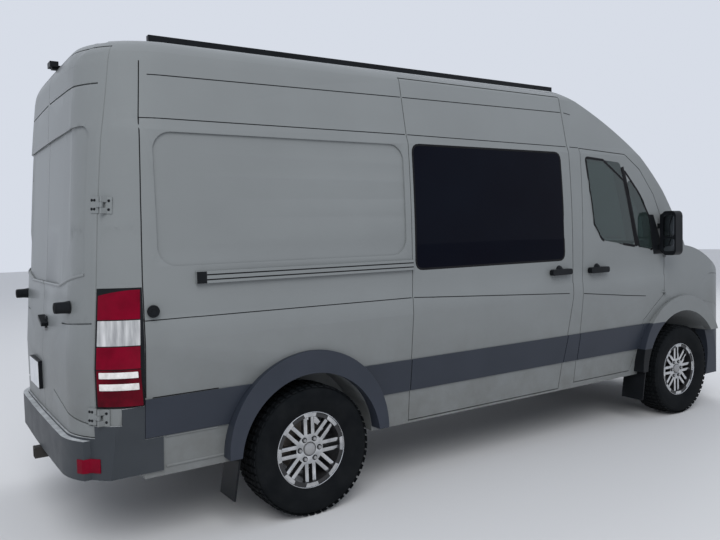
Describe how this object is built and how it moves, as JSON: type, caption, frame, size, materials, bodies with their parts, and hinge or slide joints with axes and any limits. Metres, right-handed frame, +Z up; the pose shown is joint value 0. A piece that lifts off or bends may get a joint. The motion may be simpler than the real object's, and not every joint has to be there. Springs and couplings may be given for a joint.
{
  "type": "camper van",
  "caption": "High-roof camper van on a long panel van body, with a rear tow hitch, roof rails, a sliding side door, opening cab and rear doors, a bonnet and steered wheels.",
  "frame": {"origin": "on the ground under the middle of the outline", "axes": "+X to the front along the van, +Y to the van's left, +Z up"},
  "size_m": [6.019, 2.37, 2.757],
  "materials": {
    "grey_paint": "gloss",
    "black_trim": "satin",
    "black_steel": "satin",
    "dark_glass": "gloss",
    "clear_lens": "gloss",
    "red_lens": "gloss",
    "tyre_rubber": "matte",
    "wheel_alloy": "machined",
    "underbody_steel": "rough",
    "zinc_steel": "satin",
    "seat_fabric": "woven",
    "black_rubber": "matte"
  },
  "bodies": {
    "body": {"body_shell": "grey_paint", "arch_trims": "black_trim", "side_cladding": "black_trim", "front_bumper": "black_trim", "front_grille": "black_trim", "headlamps": "clear_lens", "tail_lamps": "red_lens", "rear_camera": "black_trim", "windscreen": "dark_glass", "side_windows": "dark_glass", "sliding_door": "grey_paint", "slide_handle": "black_trim", "door_rail": "black_trim", "roof_rack": "black_steel", "rear_bumper": "black_trim", "rear_hinges": "zinc_steel", "tow_hitch": "black_steel", "mud_flaps": "black_rubber", "chassis_rails": "black_steel", "front_subframe": "underbody_steel", "engine": "underbody_steel", "exhaust": "zinc_steel", "fuel_tank": "black_trim", "rear_axle": "underbody_steel", "leaf_springs": "underbody_steel", "dashboard": "black_trim", "cab_seats": "seat_fabric"},
    "bonnet": {"bonnet": "grey_paint"},
    "front_door_right": {"front_door_right": "grey_paint", "door_glass_right": "dark_glass", "door_trim_right": "black_trim", "mirror_right": "black_trim"},
    "rear_door_right": {"rear_door_right": "grey_paint", "rear_door_fittings_right": "black_trim"},
    "knuckle_right": {"knuckle_right": "underbody_steel"},
    "wheel_front_right": {"wheel_front_right": "wheel_alloy", "tyre_front_right": "tyre_rubber"},
    "wheel_rear_right": {"wheel_rear_right": "wheel_alloy", "tyre_rear_right": "tyre_rubber"},
    "front_door_left": {"front_door_left": "grey_paint", "door_glass_left": "dark_glass", "door_trim_left": "black_trim", "mirror_left": "black_trim"},
    "rear_door_left": {"rear_door_left": "grey_paint", "rear_door_fittings_left": "black_trim", "plate_holder": "black_trim"},
    "knuckle_left": {"knuckle_left": "underbody_steel"},
    "wheel_front_left": {"wheel_front_left": "wheel_alloy", "tyre_front_left": "tyre_rubber"},
    "wheel_rear_left": {"wheel_rear_left": "wheel_alloy", "tyre_rear_left": "tyre_rubber"}
  },
  "joints": [
    {"name": "front_door_right_hinge", "type": "hinge", "parent": "body", "child": "front_door_right", "pos_m": [1.7385, -1, 1], "axis": [0, 0, 1], "range_deg": [0, 70]},
    {"name": "front_door_left_hinge", "type": "hinge", "parent": "body", "child": "front_door_left", "pos_m": [1.7385, 1, 1], "axis": [0, 0, -1], "range_deg": [0, 70]},
    {"name": "rear_door_right_hinge", "type": "hinge", "parent": "body", "child": "rear_door_right", "pos_m": [-2.8285, -0.9, 0.759], "axis": [0.0556, 0, 0.9985], "range_deg": [0, 205]},
    {"name": "rear_door_left_hinge", "type": "hinge", "parent": "body", "child": "rear_door_left", "pos_m": [-2.8285, 0.9, 0.759], "axis": [-0.0556, 0, -0.9985], "range_deg": [0, 205]},
    {"name": "bonnet_hinge", "type": "hinge", "parent": "body", "child": "bonnet", "pos_m": [2.1905, 0, 1.465], "axis": [0, -1, 0], "range_deg": [0, 60]},
    {"name": "steer_right", "type": "hinge", "parent": "body", "child": "knuckle_right", "pos_m": [2.0055, -0.66, 0.31], "axis": [0, 0, 1], "range_deg": [-35, 35]},
    {"name": "steer_left", "type": "hinge", "parent": "body", "child": "knuckle_left", "pos_m": [2.0055, 0.66, 0.31], "axis": [0, 0, 1], "range_deg": [-35, 35]},
    {"name": "wheel_front_right_spin", "type": "hinge", "parent": "knuckle_right", "child": "wheel_front_right", "pos_m": [2.0055, -0.855, 0.384], "axis": [0, 1, 0], "continuous": true},
    {"name": "wheel_front_left_spin", "type": "hinge", "parent": "knuckle_left", "child": "wheel_front_left", "pos_m": [2.0055, 0.855, 0.384], "axis": [0, 1, 0], "continuous": true},
    {"name": "wheel_rear_right_spin", "type": "hinge", "parent": "body", "child": "wheel_rear_right", "pos_m": [-1.6595, -0.858, 0.384], "axis": [0, 1, 0], "continuous": true},
    {"name": "wheel_rear_left_spin", "type": "hinge", "parent": "body", "child": "wheel_rear_left", "pos_m": [-1.6595, 0.858, 0.384], "axis": [0, 1, 0], "continuous": true}
  ],
  "couplings": [
    {"joint": "steer_left", "follows": "steer_right", "ratio": 1}
  ]
}
